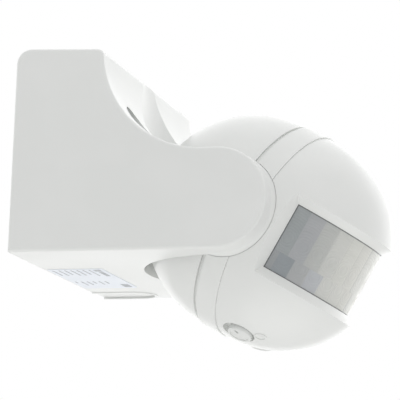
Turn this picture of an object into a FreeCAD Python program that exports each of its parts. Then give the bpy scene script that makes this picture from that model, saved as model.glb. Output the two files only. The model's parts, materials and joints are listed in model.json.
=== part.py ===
# Wall motion sensor: a ball-shaped detector head held between the two arms of a wall bracket.
# Millimetres. +Z up, wall plane at Y = 0, front towards -Y, X across the width.
# The origin is the centre of the back face, midway between the two wall screws.
import FreeCAD, Part
import math
import os

V = FreeCAD.Vector
X_AXIS = V(1, 0, 0)
Y_AXIS = V(0, 1, 0)
Z_AXIS = V(0, 0, 1)

# Bracket, driving sizes
WIDTH = 90.0
HEIGHT = 62.5
TOP_DROP = 0.9            # the top face falls this much from the wall to its front edge
TOP_DEPTH = 27.5
WALL = 2.4
SIDE_DRAFT = 1.0          # degrees, each side closes in towards the front
EDGE_R = 1.2
TOP_FRONT_R = 2.0
TOP_BACK_R = 4.5          # round corner where the top meets the wall
BACK_LIP_UP = 56.1        # height of the opening at the wall, under a lip along the top
BACK_LIP_REACH = 4.2
ARM_R = 15.2              # round end of each arm, flush with the underside
ARM_PAD_X = 26.9          # inner face of the round pad on each arm, which reaches into the ball
ARM_PAD_FLARE_X = 34.3    # from here the pad narrows to the arm's own radius
ARM_PAD_ROOT_X = 36.5
ARM_PAD_R = 15.6
ARM_PAD_EDGE_R = 0.5
PIVOT_REACH = 64.0        # wall to the tilt axis
WEB_R = 32.0              # hollow curve from the top edge down to the arms
WEB_REACH = 59.5
POCKET_R_LOW = 33.8       # drafted round pocket that the ball sits in
POCKET_R_HIGH = 37.0

# Head, driving sizes, in a frame whose origin is the pivot: s forward, u up
TILT = 29.0               # degrees that the head looks down at rest
BALL_R = 34.0
BALL_WALL = 2.4
BAND_R = 34.6
FRONT_R = 34.2
FRONT_SHIFT = 10.0        # the front dome's centre lies this far ahead of the pivot
SEAM_REAR = 0.45
BAND_START = 0.5
BAND_GROOVE_END = 1.9
BAND_GROOVE_R = 33.3
BAND_END = 8.7
SEAM_FRONT = 8.75
BALL_SEAM_ANGLE = 50.0
RECESS_R = 15.7           # round recess on each side that the arm's pad turns in
RECESS_FLOOR_X = 26.3

# Lens and window, measured from the front dome's centre
LENS_R = 29.0
LENS_T = 0.7
LENS_HALF_H = 11.9
LENS_HALF_ANGLE = 74.6
WINDOW_HALF_H = 10.5
WINDOW_HALF_ANGLE = 73.3
BEVEL_HALF_H = 13.1
BEVEL_HALF_ANGLE = 79.3

# Pivot
PIN_R = 4.2
PIN_BORE_R = 3.0
PIN_OUTER_X = 38.6
PIN_FLANGE_X = 22.2
PIN_FLANGE_T = 1.4
PIN_BOSS_R = 9.0
WASHER_R = 7.3
WASHER_T = 1.9
RUNNING_GAP = 0.05
FREE_GAP = 0.3

# Wall plate and its fixings
PLATE_T = 2.5
PLATE_GAP = 0.3
WALL_SCREW_SPACING = 60.0
WALL_SCREW_R = 2.2
GROMMET_UP = 12.0
GROMMET_HOLE_R = 4.5
WELL_X = 31.5
WELL_UP = 10.75
WELL_R = 4.4
WELL_WALL = 1.7
WELL_FLOOR_IN = 8.0
WELL_FLOOR_OUT = 9.6

# Knobs on the underside of the front dome
KNOB_R = 3.8
KNOB_SIDE = 12.26
KNOB_AHEAD = 7.05
KNOB_PROUD = 1.0
KNOB_T = 2.4
KNOB_WELL_R = 5.2         # the well is wider than its knob and set a little to one side of it
KNOB_WELL_SIDE = 11.55
KNOB_WELL_AHEAD = 6.3
KNOB_WELL_FLOOR = 31.6

UNDERSIDE = -HEIGHT / 2.0
PIVOT = V(0, -PIVOT_REACH, UNDERSIDE + ARM_R)
ARM_TOP = 2.0 * ARM_R
DOME = V(0, -FRONT_SHIFT, 0)
PARTS = {}


# ---------------------------------------------------------------- helpers

def box(x0, x1, y0, y1, z0, z1):
    """Box between two corners."""
    return Part.makeBox(x1 - x0, y1 - y0, z1 - z0, V(x0, y0, z0))


def rod(radius, start, end):
    """Round bar between two points."""
    return Part.makeCylinder(radius, (end - start).Length, start, end - start)


def ball(radius, centre=V(0, 0, 0)):
    """Full sphere, its poles at the front and back and its seam clear of every hole."""
    sphere = Part.makeSphere(radius, centre, Y_AXIS)
    sphere.rotate(centre, Y_AXIS, BALL_SEAM_ANGLE)
    return sphere


def fuse_all(shapes):
    """One solid from several, with the seams between coplanar faces cleaned away."""
    return shapes[0].multiFuse(shapes[1:]).removeSplitter()


def cut_all(shape, tools):
    """Take every tool out of a shape."""
    for tool in tools:
        shape = shape.cut(tool)
    return shape


def wall_point(x, reach, up):
    """Point given by its reach from the wall and its height above the underside."""
    return V(x, -reach, UNDERSIDE + up)


def slab_ahead(s0, s1):
    """Everything in the head between two planes across its axis."""
    return box(-60, 60, -s1, -s0, -60, 60)


def placed(shape):
    """Move a head piece from the head's own frame to the tilted rest position."""
    moved = shape.copy()
    moved.rotate(V(0, 0, 0), X_AXIS, TILT)
    moved.translate(PIVOT)
    return moved


def both_sides(shape):
    """The shape and its mirror image across the middle plane."""
    return [shape, shape.mirror(V(0, 0, 0), X_AXIS)]


# ---------------------------------------------------------------- bracket

def side_outline(inset):
    """Side profile of the bracket, in the plane X = 0, moved inwards by inset."""
    radius = WEB_R + inset
    centre_up = ARM_TOP + WEB_R
    slope = TOP_DROP / TOP_DEPTH
    reach = TOP_DEPTH
    for _ in range(6):
        top_up = HEIGHT - inset - slope * reach
        reach = WEB_REACH - math.sqrt(radius ** 2 - (centre_up - top_up) ** 2)
    start = math.atan2(top_up - centre_up, reach - WEB_REACH)
    if start > 0:
        start -= 2.0 * math.pi
    middle = (start - math.pi / 2.0) / 2.0
    back = -1.0 if inset else 0.0
    corner_r = 0.5 if inset else TOP_BACK_R
    turn = corner_r * (1.0 - math.sqrt(0.5))
    corner = wall_point(0, reach, top_up)
    web_mid = wall_point(0, WEB_REACH + radius * math.cos(middle), centre_up + radius * math.sin(middle))
    arm_start = wall_point(0, WEB_REACH, ARM_TOP - inset)
    arm_top = wall_point(0, PIVOT_REACH, ARM_TOP - inset)
    arm_tip = wall_point(0, PIVOT_REACH + ARM_R - inset, ARM_R)
    arm_low = wall_point(0, PIVOT_REACH, inset)
    low_back = wall_point(0, back, inset)
    high_back = wall_point(0, back, HEIGHT - inset - corner_r)
    back_mid = wall_point(0, back + turn, HEIGHT - inset - turn)
    top_back = wall_point(0, back + corner_r, HEIGHT - inset)
    edges = [
        Part.LineSegment(low_back, high_back),
        Part.Arc(high_back, back_mid, top_back),
        Part.LineSegment(top_back, corner),
        Part.Arc(corner, web_mid, arm_start),
        Part.LineSegment(arm_start, arm_top),
        Part.Arc(arm_top, arm_tip, arm_low),
        Part.LineSegment(arm_low, low_back),
    ]
    return Part.Wire([edge.toShape() for edge in edges])


def drafted_prism(inset):
    """The profile pulled across the width, with both sides drafted."""
    half = WIDTH / 2.0 - inset
    face = Part.Face(side_outline(inset))
    face.translate(V(-half, 0, 0))
    solid = face.extrude(V(2.0 * half, 0, 0))
    wedge = box(half, half + 20, -120, 20, -60, 60)
    wedge.rotate(V(half, 0, 0), Z_AXIS, -SIDE_DRAFT)
    return cut_all(solid, both_sides(wedge))


def pocket(extra):
    """Drafted round pocket around the vertical line through the pivot."""
    base = V(0, -PIVOT_REACH, UNDERSIDE)
    slope = (POCKET_R_HIGH - POCKET_R_LOW) / HEIGHT
    below = 5.0
    return Part.makeCone(
        POCKET_R_LOW + extra - slope * below,
        POCKET_R_HIGH + extra + slope * below,
        HEIGHT + 2.0 * below,
        base - V(0, 0, below),
        Z_AXIS,
    )


def is_across(edge):
    """True for an edge that runs from one side panel to the other."""
    ends = [vertex.Point for vertex in edge.Vertexes]
    return abs(ends[0].x - ends[-1].x) > WIDTH / 2.0


def top_front_edge(solid):
    """The edge where the top face meets the hollow curve."""
    found = []
    for edge in solid.Edges:
        middle = edge.CenterOfMass
        if is_across(edge) and abs(middle.y + TOP_DEPTH) < 1.0 and middle.z > PIVOT.z:
            found.append(edge)
    return found


def panel_edges(solid):
    """The outline edges of both side panels, all but those on the wall."""
    found = []
    for edge in solid.Edges:
        on_wall = all(abs(vertex.Point.y) < 0.01 for vertex in edge.Vertexes)
        if not is_across(edge) and not on_wall:
            found.append(edge)
    return found


def soften(solid):
    """Round the front edge of the top, then the edges along both side panels."""
    solid = solid.makeFillet(TOP_FRONT_R, top_front_edge(solid))
    return solid.makeFillet(EDGE_R, panel_edges(solid))


def knockout_shape(grow):
    """U-shaped cable entry in the underside, open to the wall, its end rounded."""
    centre_x = 37.2
    half = 5.6 + grow
    length = 14.0
    low = UNDERSIDE - 1.0
    high = UNDERSIDE + WALL + 1.0
    slot = box(centre_x - half, centre_x + half, -length, 1.0, low, high)
    end = rod(half, V(centre_x, -length, low), V(centre_x, -length, high))
    return slot.fuse(end)


def arm_pad(side):
    """Round pad on an arm's inner side, with the boss that holds the pivot pin."""
    flare_start = PIVOT + V(side * ARM_PAD_FLARE_X, 0, 0)
    pad = rod(ARM_PAD_R, PIVOT + V(side * ARM_PAD_X, 0, 0), flare_start)
    face_edges = [edge for edge in pad.Edges if abs(edge.CenterOfMass.x - side * ARM_PAD_X) < 0.01]
    pad = pad.makeFillet(ARM_PAD_EDGE_R, face_edges[:1])
    flare_length = ARM_PAD_ROOT_X - ARM_PAD_FLARE_X
    flare = Part.makeCone(ARM_PAD_R, ARM_R, flare_length, flare_start, V(side, 0, 0))
    boss = rod(PIN_BOSS_R, PIVOT + V(side * (ARM_PAD_X + 1.0), 0, 0), PIVOT + V(side * PIN_OUTER_X, 0, 0))
    return fuse_all([pad, flare, boss])


def arm_pad_room(side):
    """Ring-shaped hollow behind the pad's face, open to the inside of the arm."""
    start = PIVOT + V(side * (ARM_PAD_X + WALL), 0, 0)
    end = PIVOT + V(side * PIN_OUTER_X, 0, 0)
    return rod(ARM_R - WALL, start, end).cut(rod(PIN_BOSS_R, start, end))


def bracket_housing():
    """Hollow shell with two arms, open at the wall, with two deep screw wells."""
    outer = soften(drafted_prism(0.0))
    outer = outer.cut(pocket(0.0))
    inner = drafted_prism(WALL).cut(pocket(WALL))
    lip = box(-60, 60, -BACK_LIP_REACH, 5, UNDERSIDE + BACK_LIP_UP, 60)
    shell = outer.cut(inner.cut(lip))
    additions = []
    tools = []
    for side in (-1, 1):
        tube_end = V(side * WELL_X, -WELL_FLOOR_IN, WELL_UP)
        tube = rod(WELL_R + WELL_WALL, tube_end, V(side * WELL_X, -50, WELL_UP))
        additions.append(tube.common(outer))
        tools.append(rod(WELL_R, V(side * WELL_X, -WELL_FLOOR_OUT, WELL_UP), V(side * WELL_X, -60, WELL_UP)))
        tools.append(rod(1.6, V(side * WELL_X, 0, WELL_UP), V(side * WELL_X, -20, WELL_UP)))
        additions.append(arm_pad(side))
        tools.append(arm_pad_room(side))
        spot_x = RECESS_FLOOR_X + WASHER_T + FREE_GAP
        tools.append(rod(WASHER_R + FREE_GAP, PIVOT + V(side * 26, 0, 0), PIVOT + V(side * spot_x, 0, 0)))
        tools.append(rod(PIN_R, PIVOT + V(side * 26, 0, 0), PIVOT + V(side * 39, 0, 0)))
    additions.append(knockout_bead())
    shell = fuse_all([shell] + additions)
    tools.append(knockout_shape(0.0))
    return cut_all(shell, tools)


def knockout_bead():
    """Low raised bead around the cable entry."""
    layer = box(0, 60, -40, 0, UNDERSIDE - 0.25, UNDERSIDE + 0.5)
    return knockout_shape(0.8).common(layer)


def cable_knockout():
    """Thin blanking piece that fills the U-shaped cable entry."""
    floor = box(0, 60, -30, 0, UNDERSIDE + 0.35, UNDERSIDE + 2.1)
    return knockout_shape(-0.35).common(floor)


def rating_label():
    """Blank label on the underside."""
    sheet = box(-13.5, 22.0, -19.0, -0.8, UNDERSIDE - 0.15, UNDERSIDE)
    uprights = [edge for edge in sheet.Edges if abs(edge.tangentAt(edge.FirstParameter).z) > 0.9]
    return sheet.makeFillet(1.0, uprights)


# ---------------------------------------------------------------- wall plate

PLATE_HALF_W = WIDTH / 2.0 - WALL - PLATE_GAP
PLATE_LOW = UNDERSIDE + WALL + PLATE_GAP
PLATE_HIGH = UNDERSIDE + BACK_LIP_UP - PLATE_GAP
BOARD_POSTS = [(-21.0, 9.0), (21.0, 9.0), (-21.0, 35.0), (21.0, 35.0)]
CLAMP_POSTS = [(28.5, 24.0), (37.5, 24.0)]
BOARD_BACK = 6.0
BOARD_T = 1.6


def back_plate():
    """Wall plate with screw holes, cable hole and the posts that carry the rest."""
    plate = box(-PLATE_HALF_W, PLATE_HALF_W, -PLATE_T, 0, PLATE_LOW, PLATE_HIGH)
    uprights = [edge for edge in plate.Edges if abs(edge.tangentAt(edge.FirstParameter).y) > 0.9]
    plate = plate.makeFillet(2.0, uprights)
    posts = []
    holes = []
    for side in (-1, 1):
        posts.append(rod(4.0, V(side * WELL_X, -1, WELL_UP), V(side * WELL_X, -WELL_FLOOR_IN, WELL_UP)))
        holes.append(rod(1.4, V(side * WELL_X, -1.2, WELL_UP), V(side * WELL_X, -12, WELL_UP)))
        wall_hole = V(side * WALL_SCREW_SPACING / 2.0, 0, 0)
        holes.append(rod(WALL_SCREW_R, wall_hole + V(0, 1, 0), wall_hole - V(0, 5, 0)))
    for x, up in BOARD_POSTS:
        posts.append(rod(2.8, wall_point(x, 1, up), wall_point(x, BOARD_BACK, up)))
        holes.append(rod(1.1, wall_point(x, 1.2, up), wall_point(x, 8, up)))
    for x, up in CLAMP_POSTS:
        posts.append(rod(2.0, wall_point(x, 1, up), wall_point(x, 8, up)))
        holes.append(rod(1.0, wall_point(x, 2.0, up), wall_point(x, 9, up)))
    holes.append(rod(8.0, V(0, 1, GROMMET_UP), V(0, -5, GROMMET_UP)))
    return cut_all(fuse_all([plate] + posts), holes)


def back_seal():
    """Cord seal between the wall plate's edge and the housing."""
    outer_x = WIDTH / 2.0 - WALL - 0.2
    high = UNDERSIDE + BACK_LIP_UP
    outer = box(-outer_x, outer_x, -PLATE_T - 1.4, -PLATE_T, UNDERSIDE + WALL + 0.1, high - 0.2)
    inner = box(-outer_x + 1.5, outer_x - 1.5, -10, 0, UNDERSIDE + WALL + 1.5, high - 1.5)
    return outer.cut(inner).cut(knockout_shape(0.6))


def cable_grommet():
    """Rubber grommet in the wall plate's cable hole."""
    body = rod(8.0, V(0, -0.4, GROMMET_UP), V(0, -PLATE_T, GROMMET_UP))
    flange = rod(10.0, V(0, -PLATE_T, GROMMET_UP), V(0, -PLATE_T - 1.2, GROMMET_UP))
    hole = rod(GROMMET_HOLE_R, V(0, 1, GROMMET_UP), V(0, -6, GROMMET_UP))
    return fuse_all([body, flange]).cut(hole)


def screw(point, direction, head_r, head_t, shank_r, length):
    """Pan screw: point is under the head, direction runs into the work."""
    axis = direction / direction.Length
    head = rod(head_r, point, point - axis * head_t)
    rim = [edge for edge in head.Edges if (edge.CenterOfMass - (point - axis * head_t)).Length < 0.01]
    head = head.makeFillet(head_t * 0.45, [rim[0]])
    across = X_AXIS.cross(axis)
    if across.Length < 0.1:
        across = Z_AXIS.cross(axis)
    across = across / across.Length
    side = axis.cross(across)
    recess = []
    top = point - axis * head_t
    reach = head_r * 0.6
    for arm in (across, side):
        recess.append(rod(head_r * 0.13, top - arm * reach, top + arm * reach))
    shank = rod(shank_r, point, point + axis * length)
    return cut_all(head.fuse(shank), recess)


def housing_screws():
    """Two screws at the bottom of the wells."""
    into_wall = V(0, 1, 0)
    places = [V(side * WELL_X, -WELL_FLOOR_OUT, WELL_UP) for side in (-1, 1)]
    return Part.makeCompound([screw(place, into_wall, 2.9, 2.0, 1.38, 7.5) for place in places])


# ---------------------------------------------------------------- power electronics

BOARD_FRONT = BOARD_BACK + BOARD_T


def on_board(x0, x1, up0, up1, tall):
    """Box standing on the power board."""
    high = UNDERSIDE + up1
    return box(x0, x1, -BOARD_FRONT - tall, -BOARD_FRONT, UNDERSIDE + up0, high)


def power_board():
    """Power board on the wall plate's four posts."""
    board = box(-25.0, 25.0, -BOARD_FRONT, -BOARD_BACK, UNDERSIDE + 5.0, UNDERSIDE + 35.0 + 3.4)
    return cut_all(board, [rod(1.2, wall_point(x, 0, up), wall_point(x, 20, up)) for x, up in BOARD_POSTS])


def board_screws():
    """Four screws that hold the power board."""
    into_wall = V(0, 1, 0)
    return Part.makeCompound(
        [screw(wall_point(x, BOARD_FRONT, up), into_wall, 2.2, 1.4, 1.08, 5.5) for x, up in BOARD_POSTS]
    )


def relay():
    """Sealed relay."""
    block = on_board(-17.0, -2.0, 15.0, 34.0, 14.5)
    return block.makeFillet(0.6, block.Edges)


def film_capacitor():
    """Mains suppression capacitor."""
    block = on_board(1.0, 17.0, 25.0, 31.0, 10.0)
    return block.makeFillet(0.5, block.Edges)


def electrolytic_capacitor():
    """Round smoothing capacitor standing on the board."""
    can = rod(4.0, wall_point(6.0, BOARD_FRONT, 19.5), wall_point(6.0, BOARD_FRONT + 11.5, 19.5))
    return can.makeFillet(0.5, can.Edges[:1])


def varistor():
    """Disc varistor on edge."""
    return rod(3.6, wall_point(15.0, BOARD_FRONT + 4.0, 19.5), wall_point(18.6, BOARD_FRONT + 4.0, 19.5))


def mains_fuse():
    """Small glass fuse lying on the board."""
    tube = rod(1.6, wall_point(-12.0, BOARD_FRONT + 2.0, 10.0), wall_point(-4.0, BOARD_FRONT + 2.0, 10.0))
    caps = [
        rod(1.9, wall_point(x, BOARD_FRONT + 2.0, 10.0), wall_point(x + 3.0, BOARD_FRONT + 2.0, 10.0))
        for x in (-15.0, -4.0)
    ]
    return fuse_all([tube] + caps)


TERMINAL_X = [4.0, 9.5, 15.0]


def terminal_block():
    """Three-way screw terminal."""
    block = on_board(1.0, 18.0, 6.0, 14.0, 10.0)
    tools = []
    for x in TERMINAL_X:
        tools.append(rod(1.9, wall_point(x, 13.0, 10.0), wall_point(x, 30.0, 10.0)))
        tools.append(rod(1.5, wall_point(x, BOARD_FRONT + 2.6, 0.0), wall_point(x, BOARD_FRONT + 2.6, 10.0)))
    return cut_all(block, tools)


def terminal_screws():
    """Slotted screws of the terminal."""
    pieces = []
    for x in TERMINAL_X:
        body = rod(1.85, wall_point(x, 13.0, 10.0), wall_point(x, 16.0, 10.0))
        slot = box(x - 0.25, x + 0.25, -17.0, -15.2, UNDERSIDE + 8.0, UNDERSIDE + 12.0)
        pieces.append(body.cut(slot))
    return Part.makeCompound(pieces)


def cable_clamp():
    """Bar that grips an incoming cable, bridged over two posts."""
    bar = box(26.1, 39.9, -10.4, -8.0, UNDERSIDE + 21.4, UNDERSIDE + 26.6)
    return cut_all(bar, [rod(1.2, wall_point(x, 0, up), wall_point(x, 20, up)) for x, up in CLAMP_POSTS])


def clamp_screws():
    """Two screws of the cable clamp."""
    into_wall = V(0, 1, 0)
    return Part.makeCompound(
        [screw(wall_point(x, 10.4, up), into_wall, 2.0, 1.4, 0.98, 6.0) for x, up in CLAMP_POSTS]
    )


def bent_tube(points, radius, bends):
    """Tube along straight runs joined by arcs; bends gives one radius per inner point."""
    edges = []
    start = points[0]
    for index in range(1, len(points) - 1):
        corner = points[index]
        before = corner - points[index - 1]
        after = points[index + 1] - corner
        before = before / before.Length
        after = after / after.Length
        turn = before.getAngle(after)
        trim = bends[index - 1] * math.tan(turn / 2.0)
        enter = corner - before * trim
        leave = corner + after * trim
        inward = after - before
        inward = inward / inward.Length
        middle = corner + inward * (bends[index - 1] / math.cos(turn / 2.0) - bends[index - 1])
        edges.append(Part.LineSegment(start, enter).toShape())
        edges.append(Part.Arc(enter, middle, leave).toShape())
        start = leave
    edges.append(Part.LineSegment(start, points[-1]).toShape())
    path = Part.Wire(edges)
    direction = points[1] - points[0]
    section = Part.Wire([Part.makeCircle(radius, points[0], direction)])
    return path.makePipeShell([section], True, False)


LEAD_R = 1.0
LEAD_SPLIT_X = 30.0
LEAD_ARM_X = 39.7


def supply_lead_base():
    """Lead from the power board through the right arm into the hollow pivot."""
    axis_up = ARM_R
    points = [
        wall_point(22.0, BOARD_FRONT + 0.05, 20.0),
        wall_point(22.0, 17.0, 20.0),
        wall_point(LEAD_ARM_X, 30.0, 17.0),
        wall_point(LEAD_ARM_X, PIVOT_REACH, axis_up),
        wall_point(LEAD_SPLIT_X + 0.15, PIVOT_REACH, axis_up),
    ]
    return bent_tube(points, LEAD_R, [4.5, 9.0, 3.2])


# ---------------------------------------------------------------- pivot

def pivot_pin(side):
    """Hollow pin pressed into an arm, flanged inside the head."""
    shank = rod(PIN_R, V(side * (PIN_FLANGE_X + 0.5), 0, 0), V(side * PIN_OUTER_X, 0, 0))
    flange = rod(6.2, V(side * PIN_FLANGE_X, 0, 0), V(side * (PIN_FLANGE_X + PIN_FLANGE_T), 0, 0))
    bore = rod(PIN_BORE_R, V(side * 20, 0, 0), V(side * 42, 0, 0))
    return placed(fuse_all([shank, flange]).cut(bore))


def friction_washer(side):
    """Rubber washer on the head that rubs on the arm."""
    ring = rod(WASHER_R, V(side * RECESS_FLOOR_X, 0, 0), V(side * (RECESS_FLOOR_X + WASHER_T), 0, 0))
    return placed(ring.cut(rod(PIN_R + 0.2, V(side * 20, 0, 0), V(side * 42, 0, 0))))


# ---------------------------------------------------------------- head shells

HEAD_SCREWS = [(-18.6, -16.0), (18.6, -16.0), (0.0, 24.0)]
HEAD_SCREW_SEAT = -14.0
BOARD_PILLARS = [(-15.0, 9.0), (15.0, 9.0)]
SENSOR_BOARD_BACK = 3.0
SENSOR_BOARD_FRONT = 4.6


def head_point(x, s, u):
    """Point in the head's own frame."""
    return V(x, -s, u)


def pivot_bore():
    """Holes for the pins through the floors of the arm recesses."""
    return both_sides(rod(PIN_R + RUNNING_GAP, V(20, 0, 0), V(42, 0, 0)))


def recess_cups(outer):
    """Walls and floors that keep the shell closed behind both arm recesses."""
    cup = rod(RECESS_R + BALL_WALL, V(RECESS_FLOOR_X - BALL_WALL, 0, 0), V(40, 0, 0))
    return [side_cup.common(outer) for side_cup in both_sides(cup)]


def recess_tools():
    """What the two arm recesses take away."""
    return both_sides(rod(RECESS_R, V(RECESS_FLOOR_X, 0, 0), V(42, 0, 0)))


def head_rear_shell():
    """Rear half ball, with screw bosses and two pillars for the sensor board."""
    keep = slab_ahead(-60, SEAM_REAR)
    hollow = ball(BALL_R - BALL_WALL)
    additions = recess_cups(ball(BALL_R).common(keep))
    tools = recess_tools() + pivot_bore()
    for x, u in HEAD_SCREWS:
        boss = rod(4.3, head_point(x, -40, u), head_point(x, SEAM_REAR, u))
        additions.append(boss.common(ball(BALL_R)))
        tools.append(rod(3.2, head_point(x, -40, u), head_point(x, HEAD_SCREW_SEAT, u)))
        tools.append(rod(1.6, head_point(x, -40, u), head_point(x, 5, u)))
    for x, u in BOARD_PILLARS:
        pillar = rod(2.6, head_point(x, -33, u), head_point(x, SENSOR_BOARD_BACK, u))
        additions.append(pillar.common(ball(BALL_R)))
        tools.append(rod(1.1, head_point(x, -6, u), head_point(x, 5, u)))
    shell = ball(BALL_R).cut(hollow).common(keep)
    return placed(cut_all(fuse_all([shell] + additions), tools))


def head_ring_band():
    """Smooth band between the two half shells, with a shadow groove at its back edge."""
    start = head_point(0, BAND_START, 0)
    groove_end = head_point(0, BAND_GROOVE_END, 0)
    end = head_point(0, BAND_END, 0)
    outer = fuse_all([rod(BAND_GROOVE_R, start, groove_end), rod(BAND_R, groove_end, end)])
    ring = outer.cut(rod(BALL_R - BALL_WALL, head_point(0, -1, 0), head_point(0, 20, 0)))
    ring = fuse_all([ring] + recess_cups(outer))
    return placed(cut_all(ring, recess_tools() + pivot_bore()))


def revolved_band(profile, half_angle):
    """Band around the dome's upright axis; profile holds (radius, height) corners."""
    corners = [V(0, -radius, height) for radius, height in profile]
    wire = Part.makePolygon(corners + corners[:1])
    face = Part.Face(wire)
    face.rotate(V(0, 0, 0), Z_AXIS, -half_angle)
    band = face.revolve(V(0, 0, 0), Z_AXIS, 2.0 * half_angle)
    band.translate(DOME)
    return band


def window_tool():
    """Window cut: upright walls at the lens that open out in a bevel to the dome."""
    outside = 40.0
    surface = 31.6
    spread = (BEVEL_HALF_H - WINDOW_HALF_H) / (surface - LENS_R)
    far_height = WINDOW_HALF_H + spread * (outside - LENS_R)
    inside = 25.0
    profile = [
        (inside, -WINDOW_HALF_H),
        (LENS_R, -WINDOW_HALF_H),
        (outside, -far_height),
        (outside, far_height),
        (LENS_R, WINDOW_HALF_H),
        (inside, WINDOW_HALF_H),
    ]
    band = revolved_band(profile, 120.0)
    near = math.radians(WINDOW_HALF_ANGLE)
    wide = math.radians(BEVEL_HALF_ANGLE)
    x0, s0 = LENS_R * math.sin(near), LENS_R * math.cos(near)
    x1, s1 = FRONT_R * math.sin(wide), FRONT_R * math.cos(wide)
    stretch = 60.0 / (x1 - x0)
    x2, s2 = x0 + (x1 - x0) * stretch, s0 + (s1 - s0) * stretch
    corners = [
        head_point(-x0, s0, -30),
        head_point(x0, s0, -30),
        head_point(x2, s2, -30),
        head_point(x2, 80, -30),
        head_point(-x2, 80, -30),
        head_point(-x2, s2, -30),
    ]
    wedge = Part.Face(Part.makePolygon(corners + corners[:1])).extrude(V(0, 0, 60))
    wedge.translate(DOME)
    return band.common(wedge)


def ring_profile(inner, outer, half_height):
    """Rectangle for a revolved band."""
    return [(inner, -half_height), (outer, -half_height), (outer, half_height), (inner, half_height)]


def dome_axis(x, ahead):
    """Unit direction square to the underside of the dome at a place."""
    down = math.sqrt(FRONT_R ** 2 - x ** 2 - ahead ** 2)
    return head_point(x, ahead, -down) / FRONT_R


def knob_axis(side):
    """Unit direction of a knob."""
    return dome_axis(side * KNOB_SIDE, KNOB_AHEAD)


def knob_well_axis(side):
    """Unit direction of a knob's well."""
    return dome_axis(side * KNOB_WELL_SIDE, KNOB_WELL_AHEAD)


def on_knob_axis(side, distance):
    """Point on a knob's axis, measured from the front dome's centre."""
    return DOME + knob_axis(side) * distance


def head_front_shell():
    """Front dome with the wrap-around window, knob wells, recesses and screw bosses."""
    solid = ball(FRONT_R, DOME)
    keep = slab_ahead(SEAM_FRONT, 60)
    inner = ball(FRONT_R - BALL_WALL, DOME)
    barrel = rod(FRONT_R - BALL_WALL, head_point(0, 0, 0), head_point(0, FRONT_SHIFT, 0))
    shell = solid.cut(inner).cut(barrel).common(keep)
    surround = revolved_band(ring_profile(LENS_R + 0.1, 34.0, BEVEL_HALF_H + 1.4), 84.0).common(solid)
    additions = [surround] + recess_cups(solid.common(keep))
    slot = ring_profile(LENS_R - LENS_T - 0.15, LENS_R + 0.1, LENS_HALF_H + 0.15)
    tools = [window_tool(), revolved_band(slot, LENS_HALF_ANGLE + 0.4)] + recess_tools()
    for x, u in HEAD_SCREWS:
        boss = rod(3.0, head_point(x, 1.0, u), head_point(x, 45, u))
        additions.append(boss.common(solid))
        tools.append(rod(1.35, head_point(x, 0, u), head_point(x, 18, u)))
    for side in (-1, 1):
        well_axis = knob_well_axis(side)
        additions.append(rod(KNOB_WELL_R + 0.7, DOME + well_axis * 30.2, DOME + well_axis * 32.8))
        tools.append(rod(KNOB_WELL_R, DOME + well_axis * KNOB_WELL_FLOOR, DOME + well_axis * 40.0))
        tools.append(rod(2.3, on_knob_axis(side, 28.0), on_knob_axis(side, 40.0)))
    shell = fuse_all([shell] + additions)
    return placed(cut_all(shell, tools))


def head_seal():
    """Flat rubber ring behind the front dome's edge."""
    start = head_point(0, BAND_END - 1.2, 0)
    end = head_point(0, SEAM_FRONT + 0.9, 0)
    ring = rod(31.5, start, end).cut(rod(30.2, head_point(0, 0, 0), head_point(0, 20, 0)))
    clear = rod(RECESS_R + BALL_WALL + 0.3, V(-40, 0, 0), V(40, 0, 0))
    screw_room = [rod(4.6, head_point(x, -5, u), head_point(x, 20, u)) for x, u in HEAD_SCREWS]
    return placed(cut_all(ring, [clear] + screw_room))


def head_screws():
    """Three screws that pull the half shells together."""
    forward = V(0, -1, 0)
    seats = [head_point(x, HEAD_SCREW_SEAT, u) for x, u in HEAD_SCREWS]
    return placed(Part.makeCompound([screw(seat, forward, 2.9, 2.0, 1.33, 27.0) for seat in seats]))


# ---------------------------------------------------------------- lens

def fresnel_lens():
    """Thin wrap-around lens strip."""
    return placed(revolved_band(ring_profile(LENS_R - LENS_T, LENS_R, LENS_HALF_H), LENS_HALF_ANGLE))


def lens_retainer():
    """Inner frame that presses the lens against the window's edge."""
    outer_r = LENS_R - LENS_T - 0.2
    frame = revolved_band(ring_profile(outer_r - 1.6, outer_r, 12.4), 68.0)
    opening = revolved_band(ring_profile(outer_r - 4.0, outer_r + 2.0, 10.0), 65.0)
    return placed(frame.cut(opening))


# ---------------------------------------------------------------- sensor electronics

SIDE_SENSOR_ANGLE = 60.0
SIDE_SENSOR_X = 12.6
SIDE_SENSOR_S = 17.2
SIDE_SENSOR_U = -5.2


def standing(x, u, radius, height):
    """Round component standing on the sensor board."""
    return rod(radius, head_point(x, SENSOR_BOARD_FRONT, u), head_point(x, SENSOR_BOARD_FRONT + height, u))


def aimed(shape, side):
    """Turn a piece built facing forward and put it on a side sensor's place."""
    moved = shape.copy()
    moved.rotate(V(0, 0, 0), Z_AXIS, side * SIDE_SENSOR_ANGLE)
    moved.translate(head_point(side * SIDE_SENSOR_X, SIDE_SENSOR_S, SIDE_SENSOR_U))
    return moved


def sensor_board():
    """Circuit board across the head, on its two pillars."""
    board = box(-21, 21, -SENSOR_BOARD_FRONT, -SENSOR_BOARD_BACK, -11.5, 13.0)
    holes = [rod(1.2, head_point(x, 0, u), head_point(x, 9, u)) for x, u in BOARD_PILLARS]
    return placed(cut_all(board, holes))


def sensor_board_screws():
    """Two screws of the sensor board."""
    backward = V(0, 1, 0)
    seats = [head_point(x, SENSOR_BOARD_FRONT, u) for x, u in BOARD_PILLARS]
    return placed(Part.makeCompound([screw(seat, backward, 2.2, 1.4, 1.08, 7.0) for seat in seats]))


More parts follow.
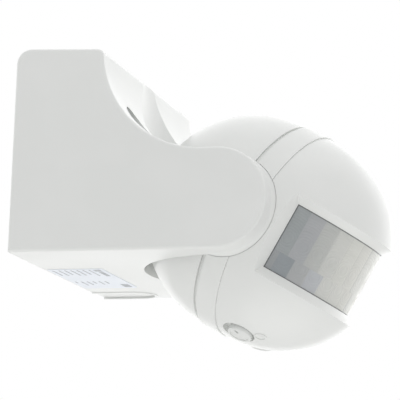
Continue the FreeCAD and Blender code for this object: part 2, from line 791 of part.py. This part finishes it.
def sensor_can(radius, height):
    """Metal can with a flange, its window opening cut, facing forward from s = 0."""
    flange = rod(radius + 0.5, head_point(0, 0, 0), head_point(0, 0.5, 0))
    body = rod(radius, head_point(0, 0, 0), head_point(0, height, 0))
    opening = box(-2.0, 2.0, -height - 1, -height + 0.4, -1.5, 1.5)
    return fuse_all([flange, body]).cut(opening)


def sensor_window(height):
    """Dark infrared window in the can's face."""
    return box(-1.95, 1.95, -height + 0.02, -height + 0.4, -1.45, 1.45)


def pir_sensor_centre():
    """Forward-facing infrared sensor."""
    can = sensor_can(4.1, 4.4)
    can.translate(head_point(0, SENSOR_BOARD_FRONT, 0))
    return placed(can)


def pir_sensor_side(side):
    """Sideways-facing infrared sensor."""
    return placed(aimed(sensor_can(3.6, 4.2), side))


def pir_windows():
    """Filters of all three sensors."""
    middle = sensor_window(4.4)
    middle.translate(head_point(0, SENSOR_BOARD_FRONT, 0))
    pieces = [middle] + [aimed(sensor_window(4.2), side) for side in (-1, 1)]
    return placed(Part.makeCompound(pieces))


def side_board(side):
    """Small angled board behind a side sensor, on a leg from the sensor board."""
    board = aimed(box(-4.4, 4.4, 0, 1.2, -6.0, 6.0), side)
    leg = box(12.6, 13.8, -14.9, -SENSOR_BOARD_FRONT, SIDE_SENSOR_U - 3.0, SIDE_SENSOR_U + 3.0)
    return placed(fuse_all([board, both_sides(leg)[side < 0]]))


def indicator_led():
    """Round indicator lamp."""
    stem = standing(0, -8.6, 1.5, 3.4)
    dome = ball(1.5, head_point(0, SENSOR_BOARD_FRONT + 3.4, -8.6))
    return placed(fuse_all([stem, dome]))


def light_sensor():
    """Daylight cell."""
    return placed(standing(7.5, 9.8, 2.3, 2.0))


def amplifier_chip():
    """Amplifier chip."""
    return placed(box(-10.0, -3.5, -SENSOR_BOARD_FRONT - 1.6, -SENSOR_BOARD_FRONT, 6.6, 11.6))


def lead_connector():
    """Socket on the back of the sensor board."""
    return placed(box(12.0, 18.4, -SENSOR_BOARD_BACK, 1.6, -3.2, 3.2))


def supply_lead_head():
    """Lead on the tilt axis from the hollow pivot to the sensor board."""
    return placed(rod(LEAD_R, V(18.4, 0, 0), V(LEAD_SPLIT_X - 0.15, 0, 0)))


def trimmer(side):
    """Body of an adjuster behind its knob."""
    body = box(-3.4, 3.4, -3.4, 3.4, 0, 4.6)
    hole = rod(2.05, V(0, 0, 1.2), V(0, 0, 6))
    piece = body.cut(hole)
    piece.Placement = FreeCAD.Placement(on_knob_axis(side, 25.2), FreeCAD.Rotation(Z_AXIS, knob_axis(side)))
    return placed(piece)


def knob(side):
    """Adjusting knob: shallow dished disc with a pointer slot and a short shaft."""
    top = FRONT_R + KNOB_PROUD
    rise = top - KNOB_T
    disc = rod(KNOB_R, V(0, 0, rise), V(0, 0, top))
    rim = [edge for edge in disc.Edges if abs(edge.CenterOfMass.z - top) < 0.01 and edge.Closed]
    disc = disc.makeFillet(0.4, rim[:1])
    dish = rod(KNOB_R - 0.8, V(0, 0, top - 0.3), V(0, 0, top + 1))
    shaft = rod(2.0, V(0, 0, 26.8), V(0, 0, rise))
    pointer = box(-0.45, 0.45, 0.7, 2.6, top - 1.0, top + 1)
    piece = cut_all(fuse_all([disc, shaft]), [dish, pointer])
    piece.Placement = FreeCAD.Placement(DOME, FreeCAD.Rotation(Z_AXIS, knob_axis(side)))
    return placed(piece)


def dial_symbols():
    """Raised ring with a hand beside each knob."""
    pieces = []
    for side in (-1, 1):
        axis = dome_axis(side * 12.0, 13.2)
        low = FRONT_R - 0.1
        high = FRONT_R + 0.22
        ring = rod(2.0, V(0, 0, low), V(0, 0, high)).cut(rod(1.5, V(0, 0, 0), V(0, 0, 50)))
        hand = box(-0.25, 0.25, -0.2, 1.6, low, high)
        mark = fuse_all([ring, hand])
        mark.Placement = FreeCAD.Placement(DOME, FreeCAD.Rotation(Z_AXIS, axis))
        pieces.append(mark.cut(ball(FRONT_R, DOME)))
    return placed(Part.makeCompound(pieces))


# ---------------------------------------------------------------- all pieces

def collect():
    """Every piece under the name of its node."""
    singles = [
        bracket_housing, cable_knockout, rating_label, back_plate, back_seal, cable_grommet,
        housing_screws, power_board, board_screws, relay, film_capacitor, electrolytic_capacitor,
        varistor, mains_fuse, terminal_block, terminal_screws, cable_clamp, clamp_screws,
        supply_lead_base, head_rear_shell, head_ring_band, head_front_shell, head_seal, head_screws,
        fresnel_lens, lens_retainer, sensor_board, sensor_board_screws, pir_sensor_centre,
        pir_windows, indicator_led, light_sensor, amplifier_chip, lead_connector, supply_lead_head,
        dial_symbols,
    ]
    for make in singles:
        PARTS[make.__name__] = make()
    for side, name in ((-1, "left"), (1, "right")):
        PARTS["pivot_pin_" + name] = pivot_pin(side)
        PARTS["friction_washer_" + name] = friction_washer(side)
        PARTS["pir_sensor_" + name] = pir_sensor_side(side)
        PARTS["side_board_" + name] = side_board(side)
    for side, name in ((-1, "time"), (1, "lux")):
        PARTS[name + "_trimmer"] = trimmer(side)
        PARTS[name + "_knob"] = knob(side)


def main():
    """Build and write every piece."""
    os.makedirs("parts", exist_ok=True)
    collect()
    for name, shape in PARTS.items():
        if not shape.isValid() or not shape.Solids:
            print("check", name, "valid", shape.isValid(), "solids", len(shape.Solids))
        shape.exportStep("parts/" + name + ".step")
    print(len(PARTS), "nodes")


main()
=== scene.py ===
"""Wall motion sensor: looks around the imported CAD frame. Metres, +Z up, wall plane at Y = 0."""
import json
import math

import bmesh
import bpy
from mathutils import Matrix, Vector


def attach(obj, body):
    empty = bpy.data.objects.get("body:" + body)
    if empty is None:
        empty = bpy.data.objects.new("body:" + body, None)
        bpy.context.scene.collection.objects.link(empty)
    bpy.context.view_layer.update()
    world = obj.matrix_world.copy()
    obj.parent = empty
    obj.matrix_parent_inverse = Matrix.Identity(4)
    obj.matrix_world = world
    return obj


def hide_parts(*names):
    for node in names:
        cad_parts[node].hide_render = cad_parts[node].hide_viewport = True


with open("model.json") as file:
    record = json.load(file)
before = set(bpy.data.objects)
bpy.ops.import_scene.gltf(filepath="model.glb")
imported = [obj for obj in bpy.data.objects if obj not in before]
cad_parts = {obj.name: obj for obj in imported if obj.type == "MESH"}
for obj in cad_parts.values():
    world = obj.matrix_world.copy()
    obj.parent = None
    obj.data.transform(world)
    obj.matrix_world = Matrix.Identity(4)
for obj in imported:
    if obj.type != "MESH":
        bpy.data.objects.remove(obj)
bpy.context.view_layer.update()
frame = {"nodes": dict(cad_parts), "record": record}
nodes = frame["nodes"]

MM = 0.001
TILT = math.radians(29.0)
PIVOT = Vector((0.0, -0.064, -0.01605))
HEAD_TURN = Matrix.Rotation(TILT, 3, "X")
FRONT_SHIFT = 10.0


# ---------------------------------------------------------------- camera, floor and lights

WORLD_DIFFUSE = 0.73
WORLD_GLOSSY = 1.55
LAMPS = [
    # name, place, size in metres, watts
    ("light_below", (0.0, -0.05, -0.8), 0.8, 1.4),
    ("light_top", (0.0, -0.2, 0.9), 0.8, 0.6),
    ("light_far", (0.9, -0.3, 0.2), 0.8, 0.85),
]


def set_camera():
    """Camera below and to the side of the bracket, looking slightly up at it."""
    image_px = 400.0
    focal_px = 2248.602
    right_px, up_px = 67.772, 40.819
    azimuth, elevation, roll = math.radians(-74.368), math.radians(-12.567), math.radians(1.574)
    look_at = Vector((0.0, -0.0675, 0.00475))
    distance = 0.70055
    back = Vector((
        math.sin(azimuth) * math.cos(elevation),
        -math.cos(azimuth) * math.cos(elevation),
        math.sin(elevation),
    ))
    right = (-back).cross(Vector((0, 0, 1))).normalized()
    up = right.cross(-back)
    right, up = (
        math.cos(roll) * right + math.sin(roll) * up,
        math.cos(roll) * up - math.sin(roll) * right,
    )
    aim = (-back * focal_px - right * right_px - up * up_px).normalized()
    side = aim.cross(up).normalized()
    lift = side.cross(aim)
    turn = Matrix((side, lift, -aim)).transposed()
    data = bpy.data.cameras.new("camera")
    data.sensor_width = 36.0
    data.lens = focal_px * data.sensor_width / image_px
    data.clip_start = 0.01
    data.clip_end = 20.0
    camera = bpy.data.objects.new("camera", data)
    camera.matrix_world = Matrix.Translation(look_at + back * distance) @ turn.to_4x4()
    bpy.context.scene.collection.objects.link(camera)
    bpy.context.scene.camera = camera


def set_world(diffuse, glossy):
    """Even white surroundings: one strength for matt light, one for reflections, and 1 where seen."""
    world = bpy.data.worlds.new("studio")
    world.use_nodes = True
    tree = world.node_tree
    tree.nodes.clear()
    out = tree.nodes.new("ShaderNodeOutputWorld")
    path = tree.nodes.new("ShaderNodeLightPath")
    shades = []
    for strength in (glossy, diffuse, 1.0):
        shade = tree.nodes.new("ShaderNodeBackground")
        shade.inputs["Color"].default_value = (1.0, 1.0, 1.0, 1.0)
        shade.inputs["Strength"].default_value = strength
        shades.append(shade.outputs[0])
    lighting = tree.nodes.new("ShaderNodeMixShader")
    tree.links.new(path.outputs["Is Diffuse Ray"], lighting.inputs[0])
    tree.links.new(shades[0], lighting.inputs[1])
    tree.links.new(shades[1], lighting.inputs[2])
    seen = tree.nodes.new("ShaderNodeMixShader")
    tree.links.new(path.outputs["Is Camera Ray"], seen.inputs[0])
    tree.links.new(lighting.outputs[0], seen.inputs[1])
    tree.links.new(shades[2], seen.inputs[2])
    tree.links.new(seen.outputs[0], out.inputs["Surface"])
    bpy.context.scene.world = world


def soft_light(name, place, size, power, target=(0.0, -0.05, 0.0)):
    """Large square lamp that the camera doesn't see."""
    data = bpy.data.lights.new(name, "AREA")
    data.shape = "SQUARE"
    data.size = size
    data.energy = power
    lamp = bpy.data.objects.new(name, data)
    lamp.location = place
    lamp.rotation_euler = (Vector(target) - Vector(place)).to_track_quat("-Z", "Y").to_euler()
    lamp.visible_camera = False
    bpy.context.scene.collection.objects.link(lamp)


def add_floor():
    """Plain pale floor well below the object."""
    half, level = 3.0, -1.0
    mesh = bpy.data.meshes.new("floor")
    corners = [(-half, -half, level), (half, -half, level), (half, half, level), (-half, half, level)]
    mesh.from_pydata(corners, [], [(0, 1, 2, 3)])
    floor = bpy.data.objects.new("floor", mesh)
    bpy.context.scene.collection.objects.link(floor)
    material, tree, shader = new_material("floor_paint")
    shader.inputs["Roughness"].default_value = 0.6
    mottle = noise(tree, 3.0, 3.0)
    tint(tree, shader, mottle, (0.86, 0.86, 0.85), (0.89, 0.89, 0.88))
    mesh.materials.append(material)


# ---------------------------------------------------------------- material helpers

def new_material(name):
    """Material with one Principled shader."""
    material = bpy.data.materials.new(name)
    material.use_nodes = True
    tree = material.node_tree
    return material, tree, tree.nodes["Principled BSDF"]


def noise(tree, scale, detail, stretch=(1.0, 1.0, 1.0)):
    """Noise in the object's own space, its scale per metre."""
    place = tree.nodes.new("ShaderNodeTexCoord")
    mapping = tree.nodes.new("ShaderNodeMapping")
    mapping.inputs["Scale"].default_value = stretch
    texture = tree.nodes.new("ShaderNodeTexNoise")
    texture.inputs["Scale"].default_value = scale
    texture.inputs["Detail"].default_value = detail
    tree.links.new(place.outputs["Object"], mapping.inputs["Vector"])
    tree.links.new(mapping.outputs["Vector"], texture.inputs["Vector"])
    return texture.outputs["Fac"]


def tint(tree, shader, source, low, high):
    """Base colour that drifts between two tones."""
    ramp = tree.nodes.new("ShaderNodeValToRGB")
    ramp.color_ramp.elements[0].position = 0.35
    ramp.color_ramp.elements[1].position = 0.65
    ramp.color_ramp.elements[0].color = (*low, 1.0)
    ramp.color_ramp.elements[1].color = (*high, 1.0)
    tree.links.new(source, ramp.inputs["Fac"])
    tree.links.new(ramp.outputs["Color"], shader.inputs["Base Color"])


def gloss(tree, shader, source, low, high):
    """Roughness that drifts between two values."""
    ranged = tree.nodes.new("ShaderNodeMapRange")
    ranged.inputs["From Min"].default_value = 0.3
    ranged.inputs["From Max"].default_value = 0.7
    ranged.inputs["To Min"].default_value = low
    ranged.inputs["To Max"].default_value = high
    tree.links.new(source, ranged.inputs["Value"])
    tree.links.new(ranged.outputs["Result"], shader.inputs["Roughness"])


def relief(tree, shader, source, depth, strength=1.0, below=None):
    """Bump from a height source, its depth in metres."""
    bump = tree.nodes.new("ShaderNodeBump")
    bump.inputs["Distance"].default_value = depth
    bump.inputs["Strength"].default_value = strength
    tree.links.new(source, bump.inputs["Height"])
    if below:
        tree.links.new(below.outputs["Normal"], bump.inputs["Normal"])
    tree.links.new(bump.outputs["Normal"], shader.inputs["Normal"])
    return bump


def moulded(name, low, high, rough, grain=1500.0, depth=0.000004):
    """Moulded surface: slow colour drift, slowly changing gloss, faint sink marks and a fine grain."""
    material, tree, shader = new_material(name)
    tint(tree, shader, noise(tree, 38.0, 3.0), low, high)
    gloss(tree, shader, noise(tree, 45.0, 0.0), rough[0], rough[1])
    sink = relief(tree, shader, noise(tree, 60.0, 0.0), 0.00012, 0.25)
    relief(tree, shader, noise(tree, grain, 2.0), depth, 1.0, sink)
    return material


def white_plastic(name, low, high, rough):
    """Glossy white housing plastic with a thin clear coat."""
    material = moulded(name, low, high, rough)
    shader = material.node_tree.nodes["Principled BSDF"]
    shader.inputs["IOR"].default_value = 1.5
    shader.inputs["Coat Weight"].default_value = 0.06
    shader.inputs["Coat Roughness"].default_value = 0.2
    return material


def circuit_board(name):
    """Green lacquered board with paler copper runs under the lacquer."""
    material, tree, shader = new_material(name)
    place = tree.nodes.new("ShaderNodeTexCoord")
    runs = tree.nodes.new("ShaderNodeTexBrick")
    runs.inputs["Scale"].default_value = 260.0
    runs.inputs["Mortar Size"].default_value = 0.03
    runs.inputs["Color1"].default_value = (0.010, 0.090, 0.045, 1.0)
    runs.inputs["Color2"].default_value = (0.016, 0.125, 0.060, 1.0)
    runs.inputs["Mortar"].default_value = (0.030, 0.200, 0.090, 1.0)
    tree.links.new(place.outputs["Object"], runs.inputs["Vector"])
    tree.links.new(runs.outputs["Color"], shader.inputs["Base Color"])
    gloss(tree, shader, noise(tree, 400.0, 2.0), 0.2, 0.35)
    relief(tree, shader, runs.outputs["Fac"], 0.00003)
    return material


def brushed_metal(name, low, high, rough):
    """Metal with fine drawn lines and uneven sheen."""
    material, tree, shader = new_material(name)
    shader.inputs["Metallic"].default_value = 1.0
    lines = noise(tree, 900.0, 3.0, (1.0, 1.0, 9.0))
    tint(tree, shader, noise(tree, 220.0, 4.0), low, high)
    gloss(tree, shader, lines, rough[0], rough[1])
    relief(tree, shader, lines, 0.000012)
    return material


def clear_case(name, colour, rough, transmission):
    """Coloured see-through lamp or cell body."""
    material, tree, shader = new_material(name)
    shader.inputs["Transmission Weight"].default_value = transmission
    shader.inputs["IOR"].default_value = 1.5
    cloud = noise(tree, 500.0, 2.0)
    tint(tree, shader, cloud, tuple(0.9 * value for value in colour), colour)
    gloss(tree, shader, cloud, rough, rough + 0.1)
    return material


def label_paper(name):
    """Bluish white satin film, its surface very slightly wavy."""
    material, tree, shader = new_material(name)
    shader.inputs["Specular IOR Level"].default_value = 0.45
    tint(tree, shader, noise(tree, 90.0, 3.0), (0.84, 0.885, 0.955), (0.87, 0.91, 0.975))
    gloss(tree, shader, noise(tree, 600.0, 2.0), 0.32, 0.45)
    relief(tree, shader, noise(tree, 120.0, 2.0), 0.00006, 0.5)
    return material


def apply_facet_tone_and_shade(tree, shader):
    """Multiply the base colour by the tone, with painted light and shade in it, that each facet of the
    mesh carries.
    """
    drift = shader.inputs["Base Color"].links[0].from_socket
    carried = tree.nodes.new("ShaderNodeAttribute")
    carried.attribute_name = "facet_tone_and_shade"
    product = tree.nodes.new("ShaderNodeMix")
    product.data_type = "RGBA"
    product.blend_type = "MULTIPLY"
    product.inputs["Factor"].default_value = 1.0
    tree.links.new(drift, product.inputs[6])
    tree.links.new(carried.outputs["Color"], product.inputs[7])
    tree.links.new(product.outputs[2], shader.inputs["Base Color"])


def lens_film(name):
    """Milky lens film: see-through when faced squarely, whiter where the surface turns away."""
    material, tree, clear = new_material(name)
    clear.inputs["Transmission Weight"].default_value = 0.34
    clear.inputs["IOR"].default_value = 1.2
    drift = noise(tree, 55.0, 3.0)
    tint(tree, clear, drift, (0.72, 0.74, 0.75), (0.79, 0.80, 0.81))
    apply_facet_tone_and_shade(tree, clear)
    gloss(tree, clear, noise(tree, 300.0, 3.0), 0.16, 0.26)
    milky = tree.nodes.new("ShaderNodeBsdfPrincipled")
    milky.inputs["Specular IOR Level"].default_value = 0.5
    milky.inputs["Transmission Weight"].default_value = 0.10
    tint(tree, milky, drift, (0.82, 0.825, 0.80), (0.87, 0.87, 0.845))
    apply_facet_tone_and_shade(tree, milky)
    gloss(tree, milky, noise(tree, 300.0, 3.0), 0.28, 0.4)
    facing = tree.nodes.new("ShaderNodeLayerWeight")
    facing.inputs["Blend"].default_value = 0.5
    mix = tree.nodes.new("ShaderNodeMixShader")
    out = tree.nodes["Material Output"]
    tree.links.new(facing.outputs["Facing"], mix.inputs[0])
    tree.links.new(clear.outputs[0], mix.inputs[1])
    tree.links.new(milky.outputs[0], mix.inputs[2])
    tree.links.new(mix.outputs[0], out.inputs["Surface"])
    return material


# ---------------------------------------------------------------- materials by slot

WHITE_PLASTICS = [
    # name, darker tone, paler tone, roughness range
    ("white_housing", (0.845, 0.858, 0.842), (0.872, 0.882, 0.868), (0.33, 0.39)),
    ("white_head", (0.850, 0.862, 0.846), (0.878, 0.888, 0.872), (0.30, 0.36)),
    ("white_knob", (0.820, 0.835, 0.818), (0.850, 0.862, 0.846), (0.34, 0.46)),
]
PLAIN_MOULDED = [
    ("plate_plastic", (0.70, 0.71, 0.70), (0.76, 0.77, 0.76), (0.45, 0.6)),
    ("relay_case", (0.020, 0.055, 0.26), (0.030, 0.075, 0.33), (0.28, 0.4)),
    ("capacitor_case", (0.60, 0.45, 0.07), (0.68, 0.52, 0.10), (0.25, 0.4)),
    ("capacitor_sleeve", (0.012, 0.016, 0.040), (0.022, 0.028, 0.065), (0.2, 0.34)),
    ("terminal_plastic", (0.05, 0.20, 0.10), (0.07, 0.26, 0.13), (0.35, 0.5)),
    ("lead_sheath", (0.62, 0.62, 0.60), (0.70, 0.70, 0.68), (0.4, 0.55)),
    ("filter_dark", (0.015, 0.014, 0.018), (0.030, 0.028, 0.034), (0.08, 0.16)),
    ("chip_black", (0.018, 0.018, 0.019), (0.030, 0.030, 0.031), (0.45, 0.6)),
    ("trimmer_plastic", (0.05, 0.16, 0.42), (0.07, 0.20, 0.50), (0.35, 0.5)),
]
COARSE_MOULDED = [
    # as above, then grain per metre and its depth in metres
    ("rubber", (0.020, 0.020, 0.021), (0.034, 0.034, 0.035), (0.65, 0.85), 1500.0, 0.00002),
    ("varistor_coat", (0.03, 0.10, 0.30), (0.05, 0.14, 0.38), (0.35, 0.5), 700.0, 0.00004),
]
METALS = [
    ("steel", (0.52, 0.53, 0.54), (0.66, 0.67, 0.68), (0.25, 0.42)),
    ("can_metal", (0.62, 0.60, 0.55), (0.74, 0.72, 0.67), (0.22, 0.38)),
    ("brass", (0.62, 0.44, 0.17), (0.78, 0.58, 0.25), (0.24, 0.4)),
]
CLEAR_CASES = [
    # name, colour, lowest roughness, share of light let through
    ("led_red", (0.80, 0.04, 0.03), 0.12, 0.5),
    ("cell", (0.75, 0.62, 0.50), 0.15, 0.35),
]


def make_materials():
    """One material for each of the record's slots."""
    made = {"label": label_paper("label"), "lens": lens_film("lens")}
    made["circuit_board"] = circuit_board("circuit_board")
    for rows, maker in (
        (WHITE_PLASTICS, white_plastic),
        (PLAIN_MOULDED, moulded),
        (COARSE_MOULDED, moulded),
        (METALS, brushed_metal),
        (CLEAR_CASES, clear_case),
    ):
        for name, *values in rows:
            made[name] = maker(name, *values)
    return made


def dress_nodes(materials):
    """Give every CAD node the finish its slot names."""
    by_node = {entry["node"]: entry["material_slot"] for entry in frame["record"]["subparts"]}
    for name, item in nodes.items():
        item.data.materials.clear()
        item.data.materials.append(materials[by_node[name]])


# ---------------------------------------------------------------- lens

LENS_R = 29.0
LENS_T = 0.7
LENS_HALF_H = 11.9
LENS_HALF_ANGLE = 74.6
COLUMN = 10.67            # degrees between the column boundaries
ROW_SPLIT = -4.3          # height of the line between the two rows
UPPER_CENTRE = 0.3
LOWER_CENTRE = -5.7
RING_PITCH = 0.85
RING_DEPTH = 0.12
RING_STEEP = 0.22         # share of a ring's pitch that its steep flank takes
RING_STEP = 0.78          # height of that flank, as a share of the ring's depth
EYE_R = 1.1
EYE_RIM = 0.02
EYE_BOWL = 0.05
SKIN = 0.01               # the lens stays this far inside its outer radius
LINE_HALF = 0.16
LINE_DEPTH = 0.11


def head_point(x, s, u):
    """Head frame in millimetres to the scene: s forward along the head's axis, u up."""
    return PIVOT + HEAD_TURN @ (Vector((x, -s, u)) * MM)


def facet(angle, height):
    """How far a point lies from its facet's ring centre, and from the facet's nearest edge."""
    upper = height > ROW_SPLIT
    shift = 0.0 if upper else COLUMN / 2.0
    column = math.floor((angle - shift) / COLUMN)
    middle = (column + 0.5) * COLUMN + shift
    along = math.radians(angle - middle) * LENS_R
    centre = UPPER_CENTRE if upper else LOWER_CENTRE
    from_side = math.radians(COLUMN / 2.0) * LENS_R - abs(along)
    return math.hypot(along, height - centre), min(from_side, abs(height - ROW_SPLIT))


def lens_depth(angle, height):
    """Depth of the moulded relief below the lens's outer surface, in millimetres."""
    distance, edge = facet(angle, height)
    if edge < LINE_HALF:
        return LINE_DEPTH
    if distance < EYE_R:
        return EYE_RIM + EYE_BOWL * (distance / EYE_R) ** 2
    phase = ((distance - EYE_R) / RING_PITCH) % 1.0
    return RING_DEPTH * (1.0 - phase if phase > RING_STEEP else phase / RING_STEEP * RING_STEP)


UPPER_TONES_AND_SHADE = [
    # from the middle of the strip outwards; each facet's tone with painted light and shade: lighter
    # middle, darker ends
    (1.04, 1.04, 1.01), (1.13, 1.12, 1.08), (1.17, 1.16, 1.11), (1.13, 1.12, 1.08),
    (0.98, 0.98, 0.95), (0.86, 0.86, 0.875), (0.74, 0.765, 0.77),
]
LOWER_TONES_AND_SHADE = [
    (1.04, 1.04, 1.01), (1.13, 1.12, 1.08), (1.17, 1.16, 1.12), (1.15, 1.14, 1.10),
    (0.97, 0.98, 1.01), (0.88, 0.88, 0.88), (0.65, 0.685, 0.71), (0.72, 0.73, 0.74),
]
# tone of the painted shadow along the lens strip's edges
EDGE_PAINTED_SHADE = (0.34, 0.345, 0.35)
PAINTED_SHADE_HALF_H = 10.3       # beyond this the strip's edge is painted dark, a painted shadow where it meets the window
PAINTED_SHADE_HALF_ANGLE = 72.8


def facet_tone_and_shade(angle, height):
    """Tone of the facet at a place, with painted light and shade in it and a painted shadow along the
    strip's edges; both halves of the strip mirror each other.
    """
    # outside these bounds the facet carries the painted shadow of the window's edge
    if abs(height) > PAINTED_SHADE_HALF_H or abs(angle) > PAINTED_SHADE_HALF_ANGLE:
        return EDGE_PAINTED_SHADE
    if height > ROW_SPLIT:
        return UPPER_TONES_AND_SHADE[min(int(abs(angle) / COLUMN), len(UPPER_TONES_AND_SHADE) - 1)]
    return LOWER_TONES_AND_SHADE[min(int(abs(angle) / COLUMN + 0.5), len(LOWER_TONES_AND_SHADE) - 1)]


def build_lens(material):
    """Wrap-around lens strip with its facets and rings, closed all round."""
    tones = []
    columns, rows = 372, 112
    verts = []
    for inner in (False, True):
        for j in range(rows + 1):
            height = LENS_HALF_H * (2.0 * j / rows - 1.0)
            for i in range(columns + 1):
                angle = LENS_HALF_ANGLE * (2.0 * i / columns - 1.0)
                radius = LENS_R - LENS_T if inner else LENS_R - SKIN - lens_depth(angle, height)
                turn = math.radians(angle)
                across, ahead = radius * math.sin(turn), FRONT_SHIFT + radius * math.cos(turn)
                # each point carries its facet's tone, with painted light and shade in it
                tones.append(facet_tone_and_shade(angle, height))
                verts.append(head_point(across, ahead, height))
    width = columns + 1
    layer = width * (rows + 1)
    faces = []
    for j in range(rows):
        for i in range(columns):
            a = j * width + i
            faces.append((a, a + 1, a + width + 1, a + width))
            b = a + layer
            faces.append((b, b + width, b + width + 1, b + 1))
    for i in range(columns):
        top = rows * width + i
        faces.append((i + 1, i, i + layer, i + 1 + layer))
        faces.append((top, top + 1, top + 1 + layer, top + layer))
    for j in range(rows):
        left = j * width
        right = left + columns
        faces.append((left, left + width, left + width + layer, left + layer))
        faces.append((right + width, right, right + layer, right + width + layer))
    piece = finish_piece("lens_facets", verts, faces, material, "head", True)
    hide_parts("fresnel_lens")
    carried = piece.data.color_attributes.new("facet_tone_and_shade", "FLOAT_COLOR", "POINT")
    for index, tone in enumerate(tones):
        carried.data[index].color = (*tone, 1.0)


# ---------------------------------------------------------------- label marks

LABEL_LOW = -31.44
LABEL_SKIN = -31.395
DASH_HALF = 0.24
LABEL_ROWS = [
    # y of the row, then the ends of its dashes along x
    (-2.3, [(-12.0, -8.6), (-8.2, -3.4), (8.6, 11.0)]),
    (-4.3, [(-12.0, -7.2), (-6.8, -2.6), (8.6, 13.8), (14.2, 15.6)]),
    (-6.3, [(-12.0, -9.6), (-9.2, -4.4), (8.6, 10.4), (10.8, 15.0)]),
    (-8.3, [(-12.0, -6.4), (-6.0, -2.8), (8.6, 12.4)]),
    (-10.3, [(-12.0, -8.8), (-8.4, -3.0), (8.6, 11.2), (11.6, 14.4)]),
    (-12.3, [(-12.0, -7.0), (-6.6, -4.2), (8.6, 13.0)]),
    (-14.3, [(-12.0, -5.8), (-5.3, -1.6)]),
]
LABEL_BLOCKS = [(-12.2, -9.4, -17.9, -15.6), (-8.6, -0.6, -17.6, -16.2), (14.6, 20.2, -17.8, -15.4)]
BLOCK_FACES = [(3, 2, 1, 0), (4, 5, 6, 7), (0, 1, 5, 4), (1, 2, 6, 5), (2, 3, 7, 6), (3, 0, 4, 7)]


def dash(verts, faces, x0, x1, y0, y1):
    """Add one thin closed block of print, in millimetres."""
    base = len(verts)
    for z in (LABEL_LOW, LABEL_SKIN):
        for x, y in ((x0, y0), (x1, y0), (x1, y1), (x0, y1)):
            verts.append(Vector((x, y, z)) * MM)
    for quad in BLOCK_FACES:
        faces.append(tuple(base + corner for corner in quad))


def build_label_marks(material):
    """Printed rows of plain dashes and three plain blocks, raised a hair from the label."""
    verts, faces = [], []
    for y, spans in LABEL_ROWS:
        for x0, x1 in spans:
            dash(verts, faces, x0, x1, y - DASH_HALF, y + DASH_HALF)
    for x0, x1, y0, y1 in LABEL_BLOCKS:
        dash(verts, faces, x0, x1, y0, y1)
    finish_piece("label_marks", verts, faces, material, "bracket", False)


def label_ink(name):
    """Thin grey print, slightly uneven."""
    material, tree, shader = new_material(name)
    tint(tree, shader, noise(tree, 900.0, 3.0), (0.42, 0.44, 0.47), (0.55, 0.57, 0.60))
    gloss(tree, shader, noise(tree, 600.0, 2.0), 0.4, 0.6)
    return material


def finish_piece(name, verts, faces, material, body, smooth):
    """Mesh object from lists, with its finish and the body it rides on."""
    mesh = bpy.data.meshes.new(name)
    mesh.from_pydata(verts, [], faces)
    mesh.validate()
    shape = bmesh.new()
    shape.from_mesh(mesh)
    bmesh.ops.recalc_face_normals(shape, faces=shape.faces)
    shape.to_mesh(mesh)
    shape.free()
    for polygon in mesh.polygons:
        polygon.use_smooth = smooth
    mesh.materials.append(material)
    piece = bpy.data.objects.new(name, mesh)
    bpy.context.scene.collection.objects.link(piece)
    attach(piece, body)
    return piece


# ---------------------------------------------------------------- build

set_camera()
set_world(WORLD_DIFFUSE, WORLD_GLOSSY)
for name, place, size, power in LAMPS:
    soft_light(name, place, size, power)
add_floor()
materials = make_materials()
dress_nodes(materials)
build_lens(materials["lens"])
build_label_marks(label_ink("label_ink"))
bpy.context.scene.view_settings.view_transform = "Standard"
